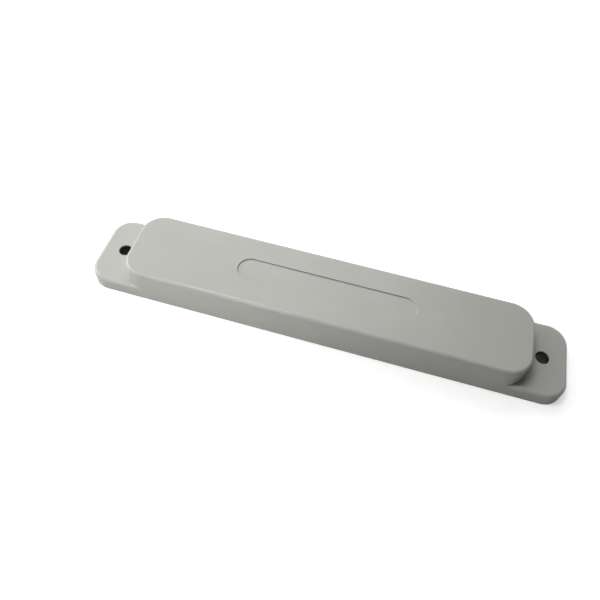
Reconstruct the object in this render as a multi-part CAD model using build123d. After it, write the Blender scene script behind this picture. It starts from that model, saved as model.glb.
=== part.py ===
"""Long slim on-metal radio tag in a sealed plastic housing with two screw ears.

Frame: X along the housing, Y across it, Z out of its face. The origin is the centre of
the flat underside. All sizes are in millimetres.
"""
from build123d import *
from math import radians, tan
import os

os.makedirs("parts", exist_ok=True)

# housing, outside
length = 156.2          # over both ears, at the underside
width = 26.5            # at the underside
height = 12.8
ear_height = 5.2
ear_corner = 6.7        # plan corner radius of the ears
block_length = 131.0    # raised block, measured at the underside
block_corner = 8.0      # plan corner radius of the block, at the underside
draft_angle = 3.6       # slope of every outside wall
block_round = 0.9       # rounding of the block's top edge
ear_round = 1.3         # rounding of the ears' top edge
foot_chamfer = 0.25     # small chamfer round the underside
overrun = 1.0           # how far a cut runs past the face that it opens
recess_length = 58.0    # shallow pill-shaped recess for a label
recess_width = 8.2
recess_depth = 0.4

# ears and their sleeves
hole_pitch = 140.0
ear_bore = 4.3          # bore moulded in the ear
sleeve_wall = 0.35
sleeve_gap = 0.02       # all round the sleeve
sleeve_inset = 0.3      # top of the sleeve below the ear's face
boss_diameter = 8.4     # solid plastic round each sleeve
ear_wall = 1.8          # plastic left round the relief pockets of an ear
ear_roof = 2.0

# housing, inside
side_wall = 2.0
top_wall = 1.8
ledge = 1.0             # step on which the base plate sits
base_thickness = 1.6
seal_width = 0.4        # epoxy joint round the base plate
peg_diameter = 2.0      # pegs of the base plate, which place the ground plane
peg_pitch = 90.0
peg_drop = 0.05         # top of a peg below the ground plane's top
peg_gap = 0.1

# ground plane and its tape
tape_thickness = 0.15
ground_thickness = 0.3
ground_gap = 0.5        # from the ground plane to the cavity's wall

# spacer and antenna board
board_length = 112.0
board_thickness = 0.8
board_gap = 0.6         # from the board to the cavity's wall
board_corner = 1.0
rib_thickness = 1.2
rib_count = 9           # cross ribs between the spacer's two end walls
stub_diameter = 4.4     # posts of the spacer, which take the rivets

# copper on the board
copper_thickness = 0.1
copper_edge = 0.6       # bare board round the copper
radiator_gap = 12.0
feed_offset = 3.0       # of the two narrow lines from the centre line
feed_width = 1.2
feed_break = 1.6        # gap under the chip

# chip
chip_length = 3.0
chip_width = 2.4
chip_height = 0.8
solder_reach = 0.8
solder_height = 0.5

# rivets that hold the board on the spacer
rivet_inset = 6.0       # outer rivets, from the board's ends
rivet_inner = 20.0      # inner rivets, from the middle
rivet_shank = 2.0
rivet_depth = 4.0       # below the board
rivet_head = 3.6
rivet_head_height = 0.6
rivet_gap = 0.05
rivet_clear = 0.5       # bare board round each head

# straps that tie the radiators to the ground plane
strap_width = 6.0
strap_thickness = 0.2
strap_lap = 3.0         # length soldered on the radiator, and of the foot
bead_length = 0.8       # solder fillet at the end of a lap or a foot

# foam pads
pad_length = 16.0
pad_width = 14.0
pad_thickness = 1.2

# heights that follow from the sizes above
slope = tan(radians(draft_angle))
ceiling = height - top_wall
tape_top = base_thickness + tape_thickness
ground_top = tape_top + ground_thickness
copper_top = ceiling - pad_thickness
board_top = copper_top - copper_thickness
board_bottom = board_top - board_thickness

# places along the board
rivet_outer = board_length / 2 - rivet_inset
rivet_places = (-rivet_outer, -rivet_inner, rivet_inner, rivet_outer)
pad_place = (rivet_inner + rivet_outer) / 2
rib_pitch = (board_length - rib_thickness) / (rib_count + 1)

# step in the underside that the base plate and its seal fill
rebate_length = block_length - 2 * (side_wall - ledge)
rebate_width = width - 2 * (side_wall - ledge)
rebate_corner = block_corner - side_wall + ledge


def plate(x_size, y_size, corner, low, high, taper=0):
    """A rounded rectangle on the Z axis, from one height to another."""
    outline = Pos(0, 0, low) * RectangleRounded(x_size, y_size, corner)
    return extrude(outline, high - low, taper=taper)


def block(x_low, x_high, y_size, low, high, y_mid=0):
    """A box given by its ends in X and Z and its size in Y."""
    solid = Box(x_high - x_low, y_size, high - low)
    return Pos((x_low + x_high) / 2, y_mid, (low + high) / 2) * solid


def post(x, diameter, low, high, y=0):
    """A round post on a vertical axis."""
    return Pos(x, y, (low + high) / 2) * Cylinder(diameter / 2, high - low)


def mirrored(part):
    """The same piece at the other end of the housing."""
    return mirror(part, Plane.YZ)


def cavity_size(z):
    """Length and width of the cavity at a height."""
    shrink = 2 * (side_wall + z * slope)
    return block_length - shrink, width - shrink


def cover_outside():
    ears = plate(length, width, ear_corner, 0, ear_height, draft_angle)
    ears = fillet(ears.faces().sort_by(Axis.Z)[-1].edges(), ear_round)
    raised = plate(block_length, width, block_corner, 0, height, draft_angle)
    raised = fillet(raised.faces().sort_by(Axis.Z)[-1].edges(), block_round)
    outside = ears + raised
    return chamfer(outside.faces().sort_by(Axis.Z)[0].edges(), foot_chamfer)


def ear_reliefs():
    """Pockets under an ear that keep its plastic even in thickness."""
    pocket = plate(length - 2 * ear_wall, width - 2 * ear_wall, ear_corner - ear_wall,
                   0, ear_height - ear_roof)
    pocket -= block(-length / 2, block_length / 2 + ear_wall, width, 0, ear_height)
    pocket -= block(0, length / 2, ear_wall, 0, ear_height)
    return pocket - post(hole_pitch / 2, boss_diameter, 0, ear_height)


def cover():
    solid = cover_outside()
    cavity_length, cavity_width = cavity_size(0)
    solid -= plate(cavity_length, cavity_width, block_corner - side_wall, 0, ceiling, draft_angle)
    solid -= plate(rebate_length, rebate_width, rebate_corner, 0, base_thickness)
    recess = Pos(0, 0, height - recess_depth) * SlotOverall(recess_length, recess_width)
    solid -= extrude(recess, recess_depth + overrun)
    relief = ear_reliefs()
    bore = post(hole_pitch / 2, ear_bore, -overrun, ear_height + overrun)
    return solid - relief - bore - mirrored(relief) - mirrored(bore)


def base_panel():
    """The base plate without its pegs."""
    return plate(rebate_length - 2 * seal_width, rebate_width - 2 * seal_width,
                 rebate_corner - seal_width, 0, base_thickness)


def base_plate():
    solid = base_panel()
    for x in (-peg_pitch / 2, peg_pitch / 2):
        solid += post(x, peg_diameter, base_thickness, ground_top - peg_drop)
    return solid


def base_seal():
    return plate(rebate_length, rebate_width, rebate_corner, 0, base_thickness) - base_panel()


def ground_sheet(low, high):
    """A sheet the size of the ground plane, with its two peg holes."""
    cavity_length, cavity_width = cavity_size(ground_top)
    corner = block_corner - side_wall - ground_gap
    sheet = plate(cavity_length - 2 * ground_gap, cavity_width - 2 * ground_gap, corner, low, high)
    for x in (-peg_pitch / 2, peg_pitch / 2):
        sheet -= post(x, peg_diameter + 2 * peg_gap, low, high)
    return sheet


def board_width():
    return cavity_size(copper_top)[1] - 2 * board_gap


def spacer_core():
    """An open frame with cross ribs, a middle rib and a post under each rivet."""
    wide = board_width()
    solid = plate(board_length, wide, board_corner, ground_top, board_bottom)
    solid -= block(-board_length / 2 + rib_thickness, board_length / 2 - rib_thickness,
                   wide - 2 * rib_thickness, ground_top, board_bottom)
    first = -rib_pitch * (rib_count - 1) / 2
    for number in range(rib_count):
        x = first + number * rib_pitch
        solid += block(x - rib_thickness / 2, x + rib_thickness / 2, wide - rib_thickness,
                       ground_top, board_bottom)
    solid += block(-board_length / 2 + rib_thickness / 2, board_length / 2 - rib_thickness / 2,
                   rib_thickness, ground_top, board_bottom)
    for x in rivet_places:
        solid += post(x, stub_diameter, ground_top, board_bottom)
    for x in rivet_places:
        solid -= post(x, rivet_shank + 2 * rivet_gap, board_bottom - rivet_depth - rivet_gap,
                      board_bottom)
    return solid


def antenna_board():
    solid = plate(board_length, board_width(), board_corner, board_bottom, board_top)
    for x in rivet_places:
        solid -= post(x, rivet_shank + 2 * rivet_gap, board_bottom, board_top)
    return solid


def right_radiator():
    wide = board_width() - 2 * copper_edge
    solid = block(radiator_gap / 2, board_length / 2 - copper_edge, wide, board_top, copper_top)
    for x in rivet_places:
        solid -= post(x, rivet_head + 2 * rivet_clear, board_top, copper_top)
    return solid


def feed_lines():
    right = block(feed_break / 2, radiator_gap / 2, feed_width, board_top, copper_top, feed_offset)
    return [right, mirrored(right)]


def tuning_line():
    return block(-radiator_gap / 2, radiator_gap / 2, feed_width, board_top, copper_top,
                 -feed_offset)


def tag_chip():
    solid = Pos(0, feed_offset, copper_top + chip_height / 2) * Box(chip_length, chip_width,
                                                                    chip_height)
    return chamfer(solid.faces().sort_by(Axis.Z)[-1].edges(), chip_height / 8)


def wedge(reach, rise, breadth):
    """A solder fillet: a right-angled wedge along Y, with its square corner on the origin."""
    outline = Plane.XZ * Polygon((0, 0), (reach, 0), (0, rise), align=None)
    return Pos(0, breadth / 2, 0) * extrude(outline, breadth)


def chip_solder():
    right = Pos(chip_length / 2, feed_offset, copper_top) * wedge(solder_reach, solder_height,
                                                                  feed_width)
    return [right, mirrored(right)]


def right_strap():
    """A folded strip: lapped on the radiator, down the end of the board, out on the ground."""
    outer = board_length / 2 + strap_thickness
    lap = block(board_length / 2 - strap_lap, outer, strap_width,
                copper_top, copper_top + strap_thickness)
    leg = block(board_length / 2, outer, strap_width, ground_top, copper_top + strap_thickness)
    foot = block(board_length / 2, outer + strap_lap, strap_width,
                 ground_top, ground_top + strap_thickness)
    return lap + leg + foot


def strap_solder():
    on_radiator = Pos(board_length / 2 - strap_lap, 0, copper_top) * mirrored(
        wedge(bead_length, strap_thickness, strap_width))
    on_ground = Pos(board_length / 2 + strap_thickness + strap_lap, 0, ground_top) * wedge(
        bead_length, strap_thickness, strap_width)
    return [on_radiator, on_ground, mirrored(on_radiator), mirrored(on_ground)]


def board_rivets():
    rivets = []
    for x in rivet_places:
        head = post(x, rivet_head, board_top, board_top + rivet_head_height)
        head = fillet(head.faces().sort_by(Axis.Z)[-1].edges(), rivet_head_height / 2)
        rivets.append(head + post(x, rivet_shank, board_bottom - rivet_depth, board_top))
    return rivets


def right_foam_pad():
    return Pos(pad_place, 0, 0) * plate(pad_length, pad_width, board_corner, copper_top, ceiling)


def right_ear_sleeve():
    outer = ear_bore - 2 * sleeve_gap
    tube = post(hole_pitch / 2, outer, 0, ear_height - sleeve_inset)
    return tube - post(hole_pitch / 2, outer - 2 * sleeve_wall, 0, ear_height)


def write(name, shapes):
    """Write one node, from one solid or a list of separate solids."""
    if isinstance(shapes, list):
        solids = [solid for shape in shapes for solid in shape.solids()]
        shapes = Compound(children=solids)
    shapes.label = name
    export_step(shapes, "parts/" + name + ".step")
    print(name, round(shapes.volume, 2))


write("cover", cover())
write("base_plate", base_plate())
write("base_seal", base_seal())
write("ground_tape", ground_sheet(base_thickness, tape_top))
write("ground_plane", ground_sheet(tape_top, ground_top))
write("spacer_core", spacer_core())
write("antenna_board", antenna_board())
write("right_radiator", right_radiator())
write("left_radiator", mirrored(right_radiator()))
write("feed_lines", feed_lines())
write("tuning_line", tuning_line())
write("tag_chip", tag_chip())
write("chip_solder", chip_solder())
write("right_strap", right_strap())
write("left_strap", mirrored(right_strap()))
write("strap_solder", strap_solder())
write("board_rivets", board_rivets())
write("right_foam_pad", right_foam_pad())
write("left_foam_pad", mirrored(right_foam_pad()))
write("right_ear_sleeve", right_ear_sleeve())
write("left_ear_sleeve", mirrored(right_ear_sleeve()))
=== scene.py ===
import math

import bmesh
import bpy
from mathutils import Matrix, Vector


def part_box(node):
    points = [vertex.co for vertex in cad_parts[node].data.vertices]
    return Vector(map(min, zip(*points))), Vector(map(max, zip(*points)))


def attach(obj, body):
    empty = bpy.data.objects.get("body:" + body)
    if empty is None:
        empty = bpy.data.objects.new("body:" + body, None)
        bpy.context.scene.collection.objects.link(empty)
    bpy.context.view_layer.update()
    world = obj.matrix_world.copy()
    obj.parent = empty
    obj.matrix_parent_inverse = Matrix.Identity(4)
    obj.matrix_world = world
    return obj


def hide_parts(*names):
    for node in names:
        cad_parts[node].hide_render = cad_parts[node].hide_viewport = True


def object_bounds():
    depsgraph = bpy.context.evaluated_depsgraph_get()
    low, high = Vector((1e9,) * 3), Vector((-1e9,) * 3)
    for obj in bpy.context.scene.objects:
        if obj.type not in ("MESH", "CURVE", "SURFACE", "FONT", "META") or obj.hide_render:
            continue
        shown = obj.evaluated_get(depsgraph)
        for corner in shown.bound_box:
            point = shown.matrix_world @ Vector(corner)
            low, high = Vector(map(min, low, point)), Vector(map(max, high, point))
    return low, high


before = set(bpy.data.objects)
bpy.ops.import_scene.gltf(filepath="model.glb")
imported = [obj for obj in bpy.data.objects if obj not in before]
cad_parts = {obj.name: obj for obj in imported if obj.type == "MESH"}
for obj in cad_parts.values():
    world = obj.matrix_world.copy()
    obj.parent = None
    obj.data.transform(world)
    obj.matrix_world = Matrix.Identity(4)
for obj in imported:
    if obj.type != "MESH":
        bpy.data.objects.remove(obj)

cadLow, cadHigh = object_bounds()
scene = bpy.context.scene
mm = 0.001  # pieces are shaped in millimetres and brought to metres at the end
weld = 0.0005  # mm within which corners count as one
print("frame loaded:", len(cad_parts), "nodes")


# helpers for shaping

def boxInMm(node):
    low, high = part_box(node)
    return low / mm, high / mm


def addSolid(name, bm):
    bmesh.ops.recalc_face_normals(bm, faces=bm.faces)
    mesh = bpy.data.meshes.new(name)
    bm.to_mesh(mesh)
    bm.free()
    solid = bpy.data.objects.new(name, mesh)
    scene.collection.objects.link(solid)
    return solid


def bevelEdges(bm, edges, offset, segments):
    bmesh.ops.bevel(bm, geom=edges, affect="EDGES", offset=offset, offset_type="OFFSET",
                    segments=segments, profile=0.5, material=-1, clamp_overlap=False)


def roundedFace(bm, sizeX, sizeY, corner, z, steps):
    made = bmesh.ops.create_grid(bm, x_segments=1, y_segments=1, size=0.5)["verts"]
    bmesh.ops.scale(bm, vec=(sizeX, sizeY, 1), verts=made)
    bmesh.ops.translate(bm, vec=(0, 0, z), verts=made)
    before = set(bm.faces)
    keep = made[0].link_faces[0]
    bmesh.ops.bevel(bm, geom=made, affect="VERTICES", offset=corner, offset_type="OFFSET",
                    segments=steps, profile=0.5, material=-1, clamp_overlap=False)
    fresh = [f for f in bm.faces if f not in before]
    return keep if keep.is_valid and len(keep.verts) > 4 else fresh[0]


def roundedSlab(sizeX, sizeY, corner, low, high, slope=0, steps=20,
                topRound=0, footRound=0, roundSteps=8):
    bm = bmesh.new()  # sizes are those at height zero, and the walls lean in by the slope
    lower = roundedFace(bm, sizeX - 2 * low * slope, sizeY - 2 * low * slope,
                        corner - low * slope, low, steps)
    upper = roundedFace(bm, sizeX - 2 * high * slope, sizeY - 2 * high * slope,
                        corner - high * slope, high, steps)
    top, foot = list(upper.edges), list(lower.edges)
    bmesh.ops.bridge_loops(bm, edges=top + foot)
    bmesh.ops.recalc_face_normals(bm, faces=bm.faces)
    if topRound:
        bevelEdges(bm, top, topRound, roundSteps)
    if footRound:
        bevelEdges(bm, foot, footRound, 3)
    return bm


def discSolid(x, y, radius, low, high, steps=64):
    bm = bmesh.new()
    bmesh.ops.create_cone(bm, cap_ends=True, segments=steps, radius1=radius, radius2=radius,
                          depth=high - low)
    bmesh.ops.translate(bm, vec=(x, y, (low + high) / 2), verts=bm.verts)
    return bm


def blockSolid(low, high):
    bm = bmesh.new()
    bmesh.ops.create_cube(bm, size=1)
    bmesh.ops.scale(bm, vec=Vector(high) - Vector(low), verts=bm.verts)
    bmesh.ops.translate(bm, vec=(Vector(low) + Vector(high)) / 2, verts=bm.verts)
    return bm


def combine(target, bm, operation):
    tool = addSolid("tool", bm)
    cut = target.modifiers.new("cut", "BOOLEAN")
    cut.object, cut.operation, cut.solver = tool, operation, "EXACT"
    depsgraph = bpy.context.evaluated_depsgraph_get()
    mesh = bpy.data.meshes.new_from_object(target.evaluated_get(depsgraph))
    target.modifiers.clear()
    target.data = mesh
    bpy.data.objects.remove(tool)


def finishPiece(piece, material, nodes, sharpAngle=35):
    mesh = piece.data
    bm = bmesh.new()
    bm.from_mesh(mesh)
    bmesh.ops.remove_doubles(bm, verts=bm.verts, dist=weld)
    bmesh.ops.dissolve_degenerate(bm, dist=weld, edges=bm.edges)
    bmesh.ops.scale(bm, vec=(mm, mm, mm), verts=bm.verts)
    openEdges = sum(1 for e in bm.edges if not e.is_manifold)
    bm.to_mesh(mesh)
    bm.free()
    mesh.name = piece.name
    for polygon in mesh.polygons:
        polygon.use_smooth = True
    mesh.set_sharp_from_angle(angle=math.radians(sharpAngle))
    weighted = piece.modifiers.new("weighted normals", "WEIGHTED_NORMAL")
    weighted.keep_sharp = True
    mesh.materials.clear()
    mesh.materials.append(material)
    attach(piece, "root")
    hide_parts(*nodes)
    print("piece", piece.name, len(mesh.polygons), "faces,", openEdges, "open edges")
    return piece


# helpers for materials

def addNode(tree, kind, inputs=None, **settings):
    made = tree.nodes.new("ShaderNode" + kind)
    for name, value in settings.items():
        setattr(made, name, value)
    for name, value in (inputs or {}).items():
        if isinstance(value, bpy.types.NodeSocket):
            tree.links.new(value, made.inputs[name])
        else:
            made.inputs[name].default_value = value
    return made


def newGroup(name, inputs, outputs):
    tree = bpy.data.node_groups.new(name, "ShaderNodeTree")
    for label, kind, value in inputs:
        socket = tree.interface.new_socket(label, in_out="INPUT", socket_type=kind)
        if value is not None:
            socket.default_value = value
    for label, kind in outputs:
        tree.interface.new_socket(label, in_out="OUTPUT", socket_type=kind)
    return tree, tree.nodes.new("NodeGroupInput"), tree.nodes.new("NodeGroupOutput")


def mathNode(tree, operation, a, b=0.5, clamp=False):
    return addNode(tree, "Math", {0: a, 1: b}, operation=operation, use_clamp=clamp).outputs[0]


def mixColour(tree, factor, a, b, blend="MIX"):
    made = addNode(tree, "Mix", data_type="RGBA", blend_type=blend)
    for socket, value in ((made.inputs[0], factor), (made.inputs[6], a), (made.inputs[7], b)):
        if isinstance(value, bpy.types.NodeSocket):
            tree.links.new(value, socket)
        else:
            socket.default_value = value
    return made.outputs[2]


grainValues = {"pebbles": 0.45, "fine": 0.55, "fineScale": 0.8, "cloudScale": 0.02}
scuffValues = {"layers": ((0.5, 14.0), (-0.9, 18.0)), "lean": (0.1, 0.05), "hairWidth": 0.004,
               "patchScale": 0.25, "patchLevel": 0.56}
# thresholds of the edge mask, which lightens the roundings partly as wear and partly as a painted highlight
rubAndHighlightValues = {"wall": 0.12, "wallEnd": 0.45, "levelStart": 0.980, "level": 0.999, "least": 0.55}


def makeGrain():  # pebbled surface of a spark-eroded mould, with a slow cloud over it
    v = grainValues
    tree, start, end = newGroup("mouldGrain", [("Vector", "NodeSocketVector", None),
                                               ("Size", "NodeSocketFloat", 0.0003)],
                                [("Height", "NodeSocketFloat"), ("Cloud", "NodeSocketFloat")])
    scale = mathNode(tree, "DIVIDE", 1.0, start.outputs["Size"])
    where = start.outputs["Vector"]
    pebbles = addNode(tree, "TexVoronoi", {"Vector": where, "Scale": scale, "Randomness": 1.0},
                      feature="SMOOTH_F1")
    fine = addNode(tree, "TexNoise", {"Vector": where,
                                      "Scale": mathNode(tree, "MULTIPLY", scale, v["fineScale"]),
                                      "Detail": 4.0, "Roughness": 0.65})
    slow = addNode(tree, "TexNoise", {"Vector": where,
                                      "Scale": mathNode(tree, "MULTIPLY", scale, v["cloudScale"]),
                                      "Detail": 3.0, "Roughness": 0.55})
    height = mathNode(tree, "ADD", mathNode(tree, "MULTIPLY", pebbles.outputs["Distance"], v["pebbles"]),
                      mathNode(tree, "MULTIPLY", fine.outputs["Fac"], v["fine"]))
    tree.links.new(height, end.inputs["Height"])
    tree.links.new(slow.outputs["Fac"], end.inputs["Cloud"])
    return tree


def makeFlecks():  # sparse small specks, such as dust or pigment
    tree, start, end = newGroup("flecks", [("Vector", "NodeSocketVector", None),
                                           ("Size", "NodeSocketFloat", 0.002),
                                           ("Reach", "NodeSocketFloat", 0.06)],
                                [("Mask", "NodeSocketFloat")])
    scale = mathNode(tree, "DIVIDE", 1.0, start.outputs["Size"])
    cells = addNode(tree, "TexVoronoi", {"Vector": start.outputs["Vector"], "Scale": scale}, feature="F1")
    chance = addNode(tree, "TexWhiteNoise", {"Vector": cells.outputs["Position"]}, noise_dimensions="3D")
    reach = mathNode(tree, "MULTIPLY", start.outputs["Reach"], chance.outputs["Value"])
    dot = mathNode(tree, "LESS_THAN", cells.outputs["Distance"], reach)
    tree.links.new(dot, end.inputs["Mask"])
    return tree


def makeScuffs():  # faint hairline scuffs in two directions
    v = scuffValues
    tree, start, end = newGroup("scuffs", [("Vector", "NodeSocketVector", None),
                                           ("Size", "NodeSocketFloat", 0.004)],
                                [("Mask", "NodeSocketFloat")])
    scale = mathNode(tree, "DIVIDE", 1.0, start.outputs["Size"])
    layers = []
    for turn, stretch in v["layers"]:
        turned = addNode(tree, "Mapping", {"Vector": start.outputs["Vector"],
                                           "Rotation": v["lean"] + (turn,),
                                           "Scale": (1.0, stretch, 1.0)})
        hair = addNode(tree, "TexNoise", {"Vector": turned.outputs[0], "Scale": scale, "Detail": 2.0})
        ridge = mathNode(tree, "ABSOLUTE", mathNode(tree, "SUBTRACT", hair.outputs["Fac"], 0.5))
        layers.append(mathNode(tree, "LESS_THAN", ridge, v["hairWidth"]))
    both = mathNode(tree, "MAXIMUM", layers[0], layers[1])
    patch = addNode(tree, "TexNoise", {"Vector": start.outputs["Vector"],
                                       "Scale": mathNode(tree, "MULTIPLY", scale, v["patchScale"]),
                                       "Detail": 1.0})
    seen = mathNode(tree, "GREATER_THAN", patch.outputs["Fac"], v["patchLevel"])
    tree.links.new(mathNode(tree, "MULTIPLY", both, seen), end.inputs["Mask"])
    return tree


def makeEdgeRubAndHighlight():  # roundings between upright walls and level faces, rubbed unevenly by handling and lightened as a painted highlight
    v = rubAndHighlightValues
    tree, start, end = newGroup("edgeRub", [("Normal", "NodeSocketVector", None),
                                            ("Vector", "NodeSocketVector", None),
                                            ("Size", "NodeSocketFloat", 0.01)],
                                [("Mask", "NodeSocketFloat")])
    parts = addNode(tree, "SeparateXYZ", {"Vector": start.outputs["Normal"]})
    tilt = mathNode(tree, "ABSOLUTE", parts.outputs["Z"])
    rising = addNode(tree, "MapRange", {"Value": tilt, 1: v["wall"], 2: v["wallEnd"], 3: 0.0, 4: 1.0},
                     interpolation_type="SMOOTHSTEP").outputs[0]
    falling = addNode(tree, "MapRange", {"Value": tilt, 1: v["levelStart"], 2: v["level"], 3: 1.0, 4: 0.0},
                      interpolation_type="SMOOTHSTEP").outputs[0]
    patches = addNode(tree, "TexNoise", {"Vector": start.outputs["Vector"], "Detail": 3.0,
                                         "Scale": mathNode(tree, "DIVIDE", 1.0, start.outputs["Size"])})
    uneven = addNode(tree, "MapRange", {"Value": patches.outputs["Fac"], 1: 0.3, 2: 0.6,
                                        3: v["least"], 4: 1.0})
    band = mathNode(tree, "MULTIPLY", rising, falling)
    tree.links.new(mathNode(tree, "MULTIPLY", band, uneven.outputs[0]), end.inputs["Mask"])
    return tree


grain, flecks, scuffs, edgeRub = makeGrain(), makeFlecks(), makeScuffs(), makeEdgeRubAndHighlight()


def newMaterial(name, roughness=0.5, **constants):
    material = bpy.data.materials.new(name)
    material.use_nodes = True
    tree = material.node_tree
    shader = tree.nodes["Principled BSDF"]
    shader.inputs["Roughness"].default_value = roughness
    for label, value in constants.items():
        shader.inputs[label].default_value = value
    where = tree.nodes.new("ShaderNodeTexCoord").outputs["Object"]
    return material, tree, shader, where


def addGroup(tree, group, **inputs):
    made = tree.nodes.new("ShaderNodeGroup")
    made.node_tree = group
    for name, value in inputs.items():
        if isinstance(value, bpy.types.NodeSocket):
            tree.links.new(value, made.inputs[name])
        else:
            made.inputs[name].default_value = value
    return made


def bumpFrom(tree, shader, height, distance, strength=1.0):
    bump = addNode(tree, "Bump", {"Height": height, "Distance": distance, "Strength": strength})
    tree.links.new(bump.outputs["Normal"], shader.inputs["Normal"])


def insideBox(tree, where, box):  # 1 within half a length and half a width of the middle and above a height
    parts = addNode(tree, "SeparateXYZ", {"Vector": where}).outputs
    along = mathNode(tree, "LESS_THAN", mathNode(tree, "ABSOLUTE", parts["X"]), box[0])
    across = mathNode(tree, "LESS_THAN", mathNode(tree, "ABSOLUTE", parts["Y"]), box[1])
    above = mathNode(tree, "GREATER_THAN", parts["Z"], box[2])
    return mathNode(tree, "MULTIPLY", mathNode(tree, "MULTIPLY", along, across), above)


def plasticFinish(name, v):  # moulded plastic: grain, slow mottling, specks and hairline scuffs
    material, tree, shader, where = newMaterial(name, v["roughness"])
    shader.inputs["Subsurface Weight"].default_value = v.get("subsurface", 0.0)
    shader.inputs["Subsurface Scale"].default_value = v["scatterScale"]
    texture = addGroup(tree, grain, Vector=where, Size=v["grainSize"])
    specks = addGroup(tree, flecks, Vector=where, Size=v["speckSpacing"], Reach=v["speckReach"])
    hairs = addGroup(tree, scuffs, Vector=where, Size=v["scuffSize"])
    cloud = addNode(tree, "MapRange", {"Value": texture.outputs["Cloud"], 1: 0.35, 2: 0.65, 3: 0.0, 4: 1.0})
    base = mixColour(tree, cloud.outputs[0], v["colour"] + (1,), v["cloudColour"] + (1,))
    pits = addNode(tree, "MapRange", {"Value": texture.outputs["Height"], 1: 0.3, 2: 0.7, 3: 0.0,
                                      4: v["pitShade"]})
    base = mixColour(tree, pits.outputs[0], base, v["pitColour"] + (1,))
    base = mixColour(tree, mathNode(tree, "MULTIPLY", specks.outputs["Mask"], v["speckShade"]), base,
                     v["speckColour"] + (1,))
    base = mixColour(tree, mathNode(tree, "MULTIPLY", hairs.outputs["Mask"], v["scuffShade"]), base,
                     v["scuffColour"] + (1,))
    normal = where.node.outputs["Normal"]
    rubbedAndHighlit = addGroup(tree, edgeRub, Normal=normal, Vector=where, Size=v["rubAndHighlightSize"]).outputs["Mask"]
    if "paintedShadeBox" in v:  # upright walls inside this box are darkened: painted shade in the label recess
        upward = addNode(tree, "SeparateXYZ", {"Vector": normal}).outputs["Z"]
        steep = addNode(tree, "MapRange", {"Value": upward, 1: v["paintedShadeFull"], 2: v["paintedShadeEnd"],
                                           3: v["paintedShadeStrength"], 4: 0.0})
        paintedShade = mathNode(tree, "MULTIPLY", steep.outputs[0], insideBox(tree, where, v["paintedShadeBox"]))
        base = mixColour(tree, paintedShade, base, v["paintedShadeColour"] + (1,))
        rubbedAndHighlit = mathNode(tree, "MULTIPLY", rubbedAndHighlit, mathNode(tree, "SUBTRACT", 1.0, paintedShade))
    # edge roundings are lightened: partly handling wear, partly a painted highlight
    base = mixColour(tree, mathNode(tree, "MULTIPLY", rubbedAndHighlit, v["rubAndHighlightShade"]), base, v["rubAndHighlightColour"] + (1,))
    tree.links.new(base, shader.inputs["Base Color"])
    rough = mathNode(tree, "ADD", mathNode(tree, "MULTIPLY", texture.outputs["Cloud"], v["roughSpread"]),
                     v["roughness"] - v["roughSpread"] / 2)
    rough = mathNode(tree, "SUBTRACT", rough, mathNode(tree, "MULTIPLY", rubbedAndHighlit, v["rubPolish"]))
    polish = mathNode(tree, "MULTIPLY", hairs.outputs["Mask"], v["scuffPolish"])
    rough = mathNode(tree, "SUBTRACT", rough, polish, True)
    tree.links.new(rough, shader.inputs["Roughness"])
    kept = mathNode(tree, "SUBTRACT", 1.0, mathNode(tree, "MULTIPLY", rubbedAndHighlit, 1 - v["grainLeft"]))
    bumpFrom(tree, shader, mathNode(tree, "MULTIPLY", texture.outputs["Height"], kept), v["bump"])
    return material


housingValues = {
    "colour": (0.490, 0.493, 0.458), "cloudColour": (0.468, 0.470, 0.436), "pitColour": (0.38, 0.385, 0.355),
    "pitShade": 0.35, "grainSize": 0.00028, "bump": 0.000012, "roughness": 0.34, "roughSpread": 0.06,
    "speckSpacing": 0.009, "speckReach": 0.03, "speckShade": 0.55, "speckColour": (0.10, 0.10, 0.09),
    "scuffSize": 0.006, "scuffShade": 0.10, "scuffColour": (0.62, 0.62, 0.60),
    # the edge lightening below is partly wear and partly a painted highlight
    "rubAndHighlightSize": 0.012, "rubAndHighlightShade": 0.50, "rubAndHighlightColour": (0.68, 0.68, 0.65), "rubPolish": 0.20,
    # the box darkens the upright walls of the label recess as painted shade
    "paintedShadeBox": (0.030, 0.005, 0.011), "paintedShadeStrength": 0.85, "paintedShadeColour": (0.16, 0.16, 0.145),
    "paintedShadeFull": 0.2, "paintedShadeEnd": 0.75, "scatterScale": 0.0008, "scuffPolish": 0.06, "grainLeft": 0.2,
}
housingFinish = plasticFinish("satin grey abs", housingValues)
baseFinish = plasticFinish("matte grey abs", dict(
    housingValues, colour=(0.40, 0.405, 0.38), cloudColour=(0.375, 0.38, 0.355), roughness=0.58,
    grainSize=0.00045, bump=0.00003, scuffShade=0.22))


# cover: drafted block on a slab with ears, hollow below

coverValues = {
    "earHeight": 5.2, "earCorner": 6.7, "blockLength": 131.0, "blockCorner": 8.0,
    "draft": 3.6, "blockRound": 0.9, "earRound": 1.3, "footRound": 0.25, "proud": 0.01,
    "recessLength": 58.0, "recessWidth": 8.2, "recessDepth": 0.4, "rimRound": 0.12,
    "rimSteps": 3, "recessSteps": 128, "cornerSteps": 24, "ceilingRound": 0.6, "reliefRound": 0.4,
    "ledge": 1.0, "earWall": 1.8, "earRoof": 2.0, "bossRadius": 4.2, "boreRadius": 2.15,
}


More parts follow.
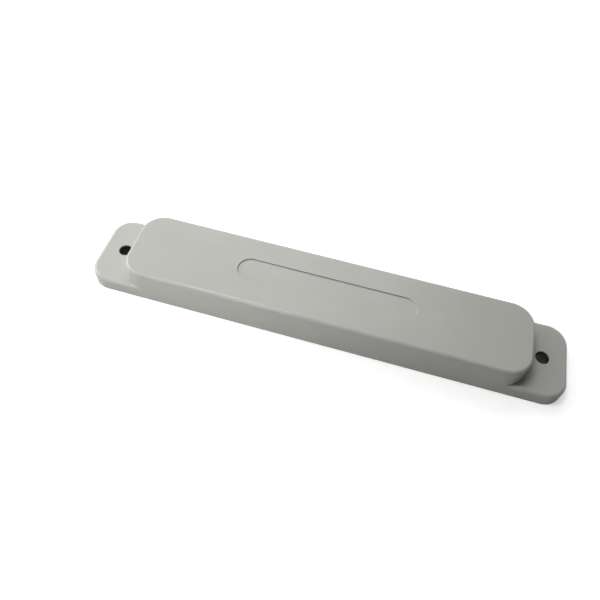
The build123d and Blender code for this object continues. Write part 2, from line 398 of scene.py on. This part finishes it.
def recessTool(v, height):
    bm = bmesh.new()
    bmesh.ops.create_circle(bm, cap_ends=True, segments=v["recessSteps"], radius=v["recessWidth"] / 2)
    stretch = (v["recessLength"] - v["recessWidth"]) / 2
    for side in (-1, 1):
        half = [w for w in bm.verts if w.co.x * side > 1e-6]
        bmesh.ops.translate(bm, vec=(side * stretch, 0, 0), verts=half)
    floor = list(bm.edges)
    raised = bmesh.ops.extrude_face_region(bm, geom=list(bm.faces))["geom"]
    bmesh.ops.translate(bm, vec=(0, 0, v["recessDepth"] + 1),
                        verts=[g for g in raised if isinstance(g, bmesh.types.BMVert)])
    bmesh.ops.translate(bm, vec=(0, 0, height - v["recessDepth"]), verts=bm.verts)
    bevelEdges(bm, [e for e in floor if e.is_valid], v["rimRound"], v["rimSteps"])
    return bm


def softenRims(cover, v, height, holes):
    bm = bmesh.new()
    bm.from_mesh(cover.data)
    bmesh.ops.remove_doubles(bm, verts=bm.verts, dist=weld)
    near = 0.01
    reachX, reachY = v["recessLength"] / 2 + near, v["recessWidth"] / 2 + near

    def onRecess(w):
        return abs(w.co.z - height) < 0.001 and abs(w.co.x) < reachX and abs(w.co.y) < reachY

    def onBore(w):
        return abs(w.co.z - v["earHeight"]) < 0.001 and any(
            abs((w.co.xy - hole).length - v["boreRadius"]) < near for hole in holes)

    rims = [e for e in bm.edges if len(e.link_faces) == 2 and e.calc_face_angle(0) > 0.7
            and (all(onRecess(w) for w in e.verts) or all(onBore(w) for w in e.verts))]
    bevelEdges(bm, rims, v["rimRound"], v["rimSteps"])
    bm.to_mesh(cover.data)
    bm.free()
    print("rims softened:", len(rims), "edges")


def makeCover():
    v = coverValues
    low, high = boxInMm("cover")
    sealLow, sealHigh = boxInMm("base_seal")
    ceiling = boxInMm("right_foam_pad")[1].z
    slope = math.tan(math.radians(v["draft"]))
    length, width, height = high.x - low.x, high.y - low.y, high.z - low.z
    rebateLength, rebateWidth = sealHigh.x - sealLow.x, sealHigh.y - sealLow.y
    rebateDepth = sealHigh.z
    wall = (v["blockLength"] - rebateLength) / 2 + v["ledge"]
    rebateCorner = v["blockCorner"] - wall + v["ledge"]
    cover = addSolid("coverShell", roundedSlab(length, width, v["earCorner"], 0, v["earHeight"], slope,
                                               topRound=v["earRound"], footRound=v["footRound"]))
    combine(cover, roundedSlab(v["blockLength"], width + 2 * v["proud"], v["blockCorner"],
                               v["footRound"], height, slope, steps=v["cornerSteps"],
                               topRound=v["blockRound"]), "UNION")
    cavity = (v["blockLength"] - 2 * wall, width - 2 * wall, v["blockCorner"] - wall)
    combine(cover, roundedSlab(*cavity, -1, ceiling, slope, steps=12,
                               topRound=v["ceilingRound"], roundSteps=4),
            "DIFFERENCE")
    combine(cover, roundedSlab(rebateLength, rebateWidth, rebateCorner, -1, rebateDepth, steps=16),
            "DIFFERENCE")
    combine(cover, recessTool(v, height), "DIFFERENCE")
    holes = []
    for node in ("left_ear_sleeve", "right_ear_sleeve"):
        sleeveLow, sleeveHigh = boxInMm(node)
        centre = (sleeveLow + sleeveHigh) / 2
        holes.append(centre.xy)
        combine(cover, discSolid(centre.x, centre.y, v["boreRadius"], -1, v["earHeight"] + 1), "DIFFERENCE")
    relief = addSolid("relief", roundedSlab(length - 2 * v["earWall"], width - 2 * v["earWall"],
                                            v["earCorner"] - v["earWall"], -1,
                                            v["earHeight"] - v["earRoof"], steps=10,
                                            topRound=v["reliefRound"],
                                            roundSteps=3))
    inner = v["blockLength"] / 2 + v["earWall"]
    combine(relief, blockSolid((-inner, -width, -2), (inner, width, v["earHeight"])), "DIFFERENCE")
    combine(relief, blockSolid((-length, -v["earWall"] / 2, -2), (length, v["earWall"] / 2, v["earHeight"])),
            "DIFFERENCE")
    for hole in holes:
        combine(relief, discSolid(hole.x, hole.y, v["bossRadius"], -2, v["earHeight"]), "DIFFERENCE")
    pockets = bmesh.new()
    pockets.from_mesh(relief.data)
    bpy.data.objects.remove(relief)
    combine(cover, pockets, "DIFFERENCE")
    softenRims(cover, v, height, holes)
    return finishPiece(cover, housingFinish, ["cover"])


makeCover()


# sleeves in the ear holes

sleeveValues = {"wall": 0.35, "chamfer": 0.12, "steps": 72, "colour": (0.005, 0.005, 0.0055),
                "greyColour": (0.016, 0.016, 0.017), "metallic": 0.6, "grainSize": 0.0002,
                "roughness": 0.35, "roughSpread": 0.25, "bump": 0.00001, "bevelSteps": 2}


def blackSteelFinish(v):
    material, tree, shader, where = newMaterial("black oxide steel", Metallic=v["metallic"])
    texture = addGroup(tree, grain, Vector=where, Size=v["grainSize"])
    base = mixColour(tree, texture.outputs["Cloud"], v["colour"] + (1,), v["greyColour"] + (1,))
    tree.links.new(base, shader.inputs["Base Color"])
    spread = mathNode(tree, "MULTIPLY", texture.outputs["Height"], v["roughSpread"])
    tree.links.new(mathNode(tree, "ADD", spread, v["roughness"]), shader.inputs["Roughness"])
    bumpFrom(tree, shader, texture.outputs["Height"], v["bump"])
    return material


blackSteel = blackSteelFinish(sleeveValues)


def makeSleeve(name, node):
    v = sleeveValues
    low, high = boxInMm(node)
    outer, centre = (high.x - low.x) / 2, (low + high) / 2
    inner = outer - v["wall"]
    bm = bmesh.new()
    corners = [bm.verts.new((x, 0, z)) for x, z in ((inner, low.z), (outer, low.z),
                                                    (outer, high.z), (inner, high.z))]
    bm.faces.new(corners)
    bmesh.ops.bevel(bm, geom=corners, affect="VERTICES", offset=v["chamfer"], offset_type="OFFSET",
                    segments=v["bevelSteps"], profile=0.5, material=-1, clamp_overlap=False)
    section = list(bm.verts) + list(bm.edges)
    bmesh.ops.delete(bm, geom=list(bm.faces), context="FACES_ONLY")
    bmesh.ops.spin(bm, geom=section, cent=(0, 0, 0), axis=(0, 0, 1), angle=2 * math.pi,
                   steps=v["steps"], use_merge=True)
    bmesh.ops.remove_doubles(bm, verts=bm.verts, dist=weld)
    bmesh.ops.translate(bm, vec=(centre.x, centre.y, 0), verts=bm.verts)
    return finishPiece(addSolid(name, bm), blackSteel, [node])


makeSleeve("leftSleeve", "left_ear_sleeve")
makeSleeve("rightSleeve", "right_ear_sleeve")


# base plate, with the marks of its ejector pins

basePlateValues = {"edgeRound": 0.15, "markRadius": 2.5, "markDepth": 0.08, "markInset": 11.0,
                   "markSteps": 48, "pegReach": 45, "pegRadius": 1.0, "pegRoot": 0.2, "pegSteps": 32}


def makeBasePlate():
    v = basePlateValues
    low, high = boxInMm("base_plate")
    tapeLow, _ = boxInMm("ground_tape")
    length, width = high.x - low.x, high.y - low.y
    corner = coverValues["blockCorner"] - (coverValues["blockLength"] - length) / 2
    plate = addSolid("basePanel", roundedSlab(length, width, corner, 0, tapeLow.z, steps=16,
                                              topRound=v["edgeRound"], footRound=v["edgeRound"],
                                              roundSteps=3))
    for x in (-length / 2 + v["markInset"], 0, length / 2 - v["markInset"]):
        for y in (-width / 4, width / 4):
            combine(plate, discSolid(x, y, v["markRadius"], -1, v["markDepth"], v["markSteps"]),
                    "DIFFERENCE")
    for x in (-v["pegReach"], v["pegReach"]):
        combine(plate, discSolid(x, 0, v["pegRadius"], tapeLow.z - v["pegRoot"], high.z, v["pegSteps"]),
                "UNION")
    return finishPiece(plate, baseFinish, ["base_plate"])


makeBasePlate()


# seal round the base plate, sunk a little where the resin has shrunk

sealValues = {"sink": 0.12, "colour": (0.016, 0.016, 0.016), "cloudColour": (0.03, 0.03, 0.028)}


def makeSeal():
    low, high = boxInMm("base_seal")
    plateLow, plateHigh = boxInMm("base_plate")
    sealSize, plateSize = high - low, plateHigh - plateLow
    sealCorner = coverValues["blockCorner"] - (coverValues["blockLength"] - sealSize.x) / 2
    plateCorner = coverValues["blockCorner"] - (coverValues["blockLength"] - plateSize.x) / 2
    seal = addSolid("sealBead", roundedSlab(sealSize.x, sealSize.y, sealCorner, sealValues["sink"],
                                            high.z, steps=16))
    combine(seal, roundedSlab(plateSize.x, plateSize.y, plateCorner, -1, high.z + 1, steps=16),
            "DIFFERENCE")
    finish = plasticFinish("cured dark epoxy", dict(
        housingValues, colour=sealValues["colour"], cloudColour=sealValues["cloudColour"],
        pitColour=(0.008, 0.008, 0.008), roughness=0.22, grainSize=0.0012, bump=0.00004,
        speckSpacing=0.003, speckReach=0.08, speckColour=(0.12, 0.12, 0.11)))
    return finishPiece(seal, finish, ["base_seal"])


makeSeal()


# pieces sealed inside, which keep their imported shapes

def metalFinish(name, v):  # rolled or brushed metal with a slow tarnish
    material, tree, shader, where = newMaterial(name, v["roughness"])
    shader.inputs["Metallic"].default_value = 1.0
    stretched = addNode(tree, "Mapping", {"Vector": where, "Scale": v["stretch"]}).outputs[0]
    lines = addNode(tree, "TexNoise", {"Vector": stretched, "Scale": 1 / v["lineSize"], "Detail": 4.0})
    texture = addGroup(tree, grain, Vector=where, Size=v["tarnishSize"])
    tarnish = addNode(tree, "MapRange", {"Value": texture.outputs["Cloud"], 1: 0.4, 2: 0.7, 3: 0.0,
                                         4: v["tarnish"]}).outputs[0]
    base = mixColour(tree, tarnish, v["colour"] + (1,), v["tarnishColour"] + (1,))
    base = mixColour(tree, mathNode(tree, "MULTIPLY", lines.outputs["Fac"], 0.2), base, (0.25, 0.22, 0.2, 1))
    tree.links.new(base, shader.inputs["Base Color"])
    rough = mathNode(tree, "ADD", mathNode(tree, "MULTIPLY", lines.outputs["Fac"], 0.2),
                     mathNode(tree, "MULTIPLY", tarnish, 0.2))
    tree.links.new(mathNode(tree, "ADD", rough, v["roughness"] - 0.1), shader.inputs["Roughness"])
    bumpFrom(tree, shader, lines.outputs["Fac"], v["bump"])
    return material


def laminateFinish(name, v):  # glass cloth showing faintly through a green mask
    material, tree, shader, where = newMaterial(name, v["roughness"])
    shader.inputs["Coat Weight"].default_value = v["coat"]
    threads = []
    for direction in ("X", "Y"):
        threads.append(addNode(tree, "TexWave", {"Vector": where, "Scale": 0.05 / v["threadPitch"],
                                                 "Distortion": 0.4, "Detail": 1.0},
                               wave_type="BANDS", bands_direction=direction).outputs["Fac"])
    weave = mathNode(tree, "MULTIPLY", threads[0], threads[1])
    texture = addGroup(tree, grain, Vector=where, Size=v["grainSize"])
    base = mixColour(tree, weave, v["colour"] + (1,), v["threadColour"] + (1,))
    base = mixColour(tree, mathNode(tree, "MULTIPLY", texture.outputs["Cloud"], 0.4), base,
                     v["cloudColour"] + (1,))
    tree.links.new(base, shader.inputs["Base Color"])
    rough = mathNode(tree, "ADD", mathNode(tree, "MULTIPLY", texture.outputs["Cloud"], 0.15),
                     v["roughness"] - 0.08)
    tree.links.new(rough, shader.inputs["Roughness"])
    bumpFrom(tree, shader, weave, v["bump"])
    return material


def foamFinish(name, v):  # closed cells, some of them cut open
    material, tree, shader, where = newMaterial(name, v["roughness"])
    cells = addNode(tree, "TexVoronoi", {"Vector": where, "Scale": 1 / v["cellSize"], "Randomness": 1.0},
                    feature="DISTANCE_TO_EDGE").outputs["Distance"]
    walls = addNode(tree, "MapRange", {"Value": cells, 1: 0.0, 2: 0.25, 3: 1.0, 4: 0.0}).outputs[0]
    texture = addGroup(tree, grain, Vector=where, Size=v["cellSize"] * 2)
    base = mixColour(tree, walls, v["colour"] + (1,), v["wallColour"] + (1,))
    base = mixColour(tree, mathNode(tree, "MULTIPLY", texture.outputs["Cloud"], 0.3), base,
                     v["cloudColour"] + (1,))
    tree.links.new(base, shader.inputs["Base Color"])
    tree.links.new(mathNode(tree, "SUBTRACT", v["roughness"], mathNode(tree, "MULTIPLY", walls, 0.1)),
                   shader.inputs["Roughness"])
    bumpFrom(tree, shader, walls, v["bump"])
    return material


innerFinishes = {
    "tinned": metalFinish("tinned sheet", {
        "colour": (0.62, 0.62, 0.60), "tarnishColour": (0.38, 0.38, 0.37), "tarnish": 0.6, "roughness": 0.34,
        "lineSize": 0.0004, "stretch": (0.05, 1.0, 1.0), "tarnishSize": 0.0005, "bump": 0.000006}),
    "copper": metalFinish("rolled copper", {
        "colour": (0.74, 0.34, 0.20), "tarnishColour": (0.36, 0.13, 0.07), "tarnish": 0.55, "roughness": 0.3,
        "lineSize": 0.0003, "stretch": (0.06, 1.0, 1.0), "tarnishSize": 0.0004, "bump": 0.000004}),
    "strap": metalFinish("folded copper strip", {
        "colour": (0.70, 0.33, 0.19), "tarnishColour": (0.30, 0.12, 0.07), "tarnish": 0.7, "roughness": 0.38,
        "lineSize": 0.0002, "stretch": (1.0, 0.08, 1.0), "tarnishSize": 0.0003, "bump": 0.000005}),
    "solder": metalFinish("bright solder", {
        "colour": (0.60, 0.60, 0.59), "tarnishColour": (0.30, 0.29, 0.27), "tarnish": 0.8, "roughness": 0.26,
        "lineSize": 0.0006, "stretch": (1.0, 1.0, 1.0), "tarnishSize": 0.0002, "bump": 0.00003}),
    "laminate": laminateFinish("green masked glass epoxy", {
        "colour": (0.012, 0.085, 0.030), "threadColour": (0.030, 0.150, 0.055), "roughness": 0.34,
        "cloudColour": (0.008, 0.060, 0.022), "threadPitch": 0.0005, "coat": 0.4, "bump": 0.000006,
        "grainSize": 0.0006}),
    "foam": foamFinish("closed cell foam", {
        "colour": (0.012, 0.012, 0.012), "wallColour": (0.045, 0.045, 0.045), "roughness": 0.92,
        "cloudColour": (0.022, 0.022, 0.023), "cellSize": 0.0005, "bump": 0.00012}),
    "spacer": plasticFinish("natural polypropylene", dict(
        housingValues, colour=(0.66, 0.66, 0.62), cloudColour=(0.60, 0.60, 0.56), subsurface=0.2,
        pitColour=(0.5, 0.5, 0.47), grainSize=0.0005, roughness=0.4)),
    "nylon": plasticFinish("natural nylon", dict(
        housingValues, colour=(0.74, 0.71, 0.60), cloudColour=(0.66, 0.63, 0.52), subsurface=0.25,
        pitColour=(0.55, 0.52, 0.42), grainSize=0.0002, roughness=0.36)),
    "chip": plasticFinish("moulded chip package", dict(
        housingValues, colour=(0.018, 0.018, 0.019), cloudColour=(0.026, 0.026, 0.027),
        pitColour=(0.008, 0.008, 0.008), grainSize=0.00008, roughness=0.55, bump=0.00001)),
    "tape": plasticFinish("double sided tape", dict(
        housingValues, colour=(0.62, 0.60, 0.50), cloudColour=(0.54, 0.52, 0.42), pitShade=0.6,
        pitColour=(0.42, 0.40, 0.32), grainSize=0.0004, roughness=0.6, bump=0.00003)),
}

innerPieces = {
    "ground_tape": "tape", "ground_plane": "tinned", "spacer_core": "spacer", "antenna_board": "laminate",
    "right_radiator": "copper", "left_radiator": "copper", "feed_lines": "copper", "tuning_line": "copper",
    "tag_chip": "chip", "chip_solder": "solder", "right_strap": "strap", "left_strap": "strap",
    "strap_solder": "solder", "board_rivets": "nylon", "right_foam_pad": "foam", "left_foam_pad": "foam",
}

for node, finish in innerPieces.items():
    for place in bpy.data.objects[node].material_slots:
        place.material = innerFinishes[finish]
print("inner pieces finished:", len(innerPieces))


# floor, light and camera

studioValues = {
    "softboxes": {  # place and size in metres, power in watts
        "nearLeft": ((-0.090, -0.090, 0.030), (0.04, 0.04), 0.018),
        "nearMiddle": ((-0.035, -0.090, 0.022), (0.04, 0.04), 0.014),
        "glint": ((-0.125, -0.015, 0.400), (0.02, 0.15), 0.46),
        "leftNear": ((-0.250, 0.020, 0.200), (0.20, 0.20), 0.15),
        "leftBack": ((-0.220, 0.180, 0.200), (0.20, 0.20), 0.21),
        "leftLow": ((-0.435, 0.000, 0.116), (0.28, 0.28), 0.60),
        "backHigh": ((-0.052, 0.297, 0.334), (0.28, 0.28), 0.58),
        "backLow": ((-0.209, 0.361, 0.169), (0.28, 0.28), 0.07),
        "overhead": ((-0.082, 0.082, 0.435), (0.28, 0.28), 0.22),
        "rightRim": ((0.361, 0.208, 0.169), (0.20, 0.20), 0.08),
    },
    "aim": (0.0, 0.0, 0.006), "floorSize": 8.0, "floorDrop": 0.00005,
    "floorColour": (0.86, 0.86, 0.855), "fibreColour": (0.90, 0.90, 0.90),
    "floorGlow": 0.53, "farGlow": 1.0, "glowReach": (0.12, 0.45),  # camera only: white round a soft shadow
    "roomSeen": 1.0, "roomReflected": 0.30,  # brightness of the pale room, which adds no other light
    "underLight": 0.6, "underInset": 0.6,  # light under the part (inset in mm), for looks from below
    "restColour": (0.02, 0.02, 0.02), "restSteps": 12, "fibreScale": 900.0,
}


def addSoftbox(name, place, size, power):
    light = bpy.data.lights.new(name, "AREA")
    light.shape, light.energy = "RECTANGLE", power
    light.size, light.size_y = size
    softbox = bpy.data.objects.new(name, light)
    softbox.location = place
    softbox.visible_camera = False
    aim = Vector(studioValues["aim"]) - Vector(place)
    softbox.rotation_euler = aim.to_track_quat("-Z", "Y").to_euler()
    scene.collection.objects.link(softbox)


def oneSided(tree, shader):  # nothing of the floor shows from below
    behind = addNode(tree, "NewGeometry").outputs["Backfacing"]
    tree.links.new(mathNode(tree, "SUBTRACT", 1.0, behind), shader.inputs["Alpha"])


def sweepFinish(v):
    material, tree, shader, where = newMaterial("pale paper sweep", 0.85)
    fibres = addNode(tree, "TexNoise", {"Vector": where, "Scale": v["fibreScale"], "Detail": 3.0})
    base = mixColour(tree, fibres.outputs["Fac"], v["floorColour"] + (1,), v["fibreColour"] + (1,))
    tree.links.new(base, shader.inputs["Base Color"])
    shader.inputs["Emission Color"].default_value = (1, 1, 1, 1)
    seen = addNode(tree, "LightPath").outputs["Is Camera Ray"]
    away = addNode(tree, "VectorMath", {0: where}, operation="LENGTH").outputs["Value"]
    glow = addNode(tree, "MapRange", {"Value": away, 1: v["glowReach"][0], 2: v["glowReach"][1],
                                      3: v["floorGlow"], 4: v["farGlow"]}).outputs[0]
    tree.links.new(mathNode(tree, "MULTIPLY", seen, glow), shader.inputs["Emission Strength"])
    oneSided(tree, shader)
    return material


def restFinish(v):  # painted shade: black to the camera, so the ear holes stay dark, but it lights the underside
    material, tree, shader, _ = newMaterial("shaded rest", 0.9)
    shader.inputs["Base Color"].default_value = v["restColour"] + (1,)
    shader.inputs["Emission Color"].default_value = (1, 1, 1, 1)
    hidden = mathNode(tree, "SUBTRACT", 1.0, addNode(tree, "LightPath").outputs["Is Camera Ray"])
    tree.links.new(mathNode(tree, "MULTIPLY", hidden, v["underLight"]), shader.inputs["Emission Strength"])
    oneSided(tree, shader)
    return material


def makeRoom(v):
    world = bpy.data.worlds.new("room")
    world.use_nodes = True
    tree = world.node_tree
    rays = addNode(tree, "LightPath")
    seen = mathNode(tree, "MULTIPLY", rays.outputs["Is Camera Ray"], v["roomSeen"])
    mirrored = mathNode(tree, "MULTIPLY", rays.outputs["Is Glossy Ray"], v["roomReflected"])
    room = tree.nodes["Background"]
    room.inputs["Color"].default_value = (1, 1, 1, 1)
    tree.links.new(mathNode(tree, "ADD", seen, mirrored), room.inputs["Strength"])
    scene.world = world


def makeStudio():
    v = studioValues
    for name, (place, size, power) in v["softboxes"].items():
        addSoftbox(name, place, size, power)
    makeRoom(v)
    bm = bmesh.new()
    bmesh.ops.create_grid(bm, x_segments=1, y_segments=1, size=v["floorSize"] / 2)
    bmesh.ops.translate(bm, vec=(0, 0, -v["floorDrop"]), verts=bm.verts)
    floor = addSolid("floor", bm)
    floor.data.materials.append(sweepFinish(v))
    bm = bmesh.new()
    inset = v["underInset"]
    roundedFace(bm, 2 * cadHigh[0] / mm - 2 * inset, 2 * cadHigh[1] / mm - 2 * inset,
                coverValues["earCorner"] - inset, 0, v["restSteps"])
    bmesh.ops.scale(bm, vec=(mm, mm, mm), verts=bm.verts)
    bmesh.ops.translate(bm, vec=(0, 0, -v["floorDrop"] / 2), verts=bm.verts)
    rest = addSolid("rest", bm)
    if rest.data.polygons[0].normal.z < 0:
        rest.data.flip_normals()
    rest.data.materials.append(restFinish(v))
    scene.view_settings.view_transform = "Standard"


cameraValues = {  # metres from the middle of the underside, degrees, and millimetres for the lens
    "place": (0.01286, -0.09266, 0.15092), "aim": (-0.00748, -0.00235, 0.006), "roll": 3.78,
    "lens": 31.9, "sensor": 36.0, "nearest": 0.005, "farthest": 10.0,
}


def makeCamera():
    v = cameraValues
    data = bpy.data.cameras.new("camera")
    data.lens, data.sensor_width = v["lens"], v["sensor"]
    data.clip_start, data.clip_end = v["nearest"], v["farthest"]
    camera = bpy.data.objects.new("camera", data)
    camera.location = v["place"]
    look = (Vector(v["aim"]) - Vector(v["place"])).to_track_quat("-Z", "Y")
    camera.rotation_mode = "QUATERNION"
    roll = Matrix.Rotation(math.radians(v["roll"]), 3, "Z").to_quaternion()
    camera.rotation_quaternion = look @ roll
    scene.collection.objects.link(camera)
    scene.camera = camera


makeStudio()
makeCamera()
print("studio ready")
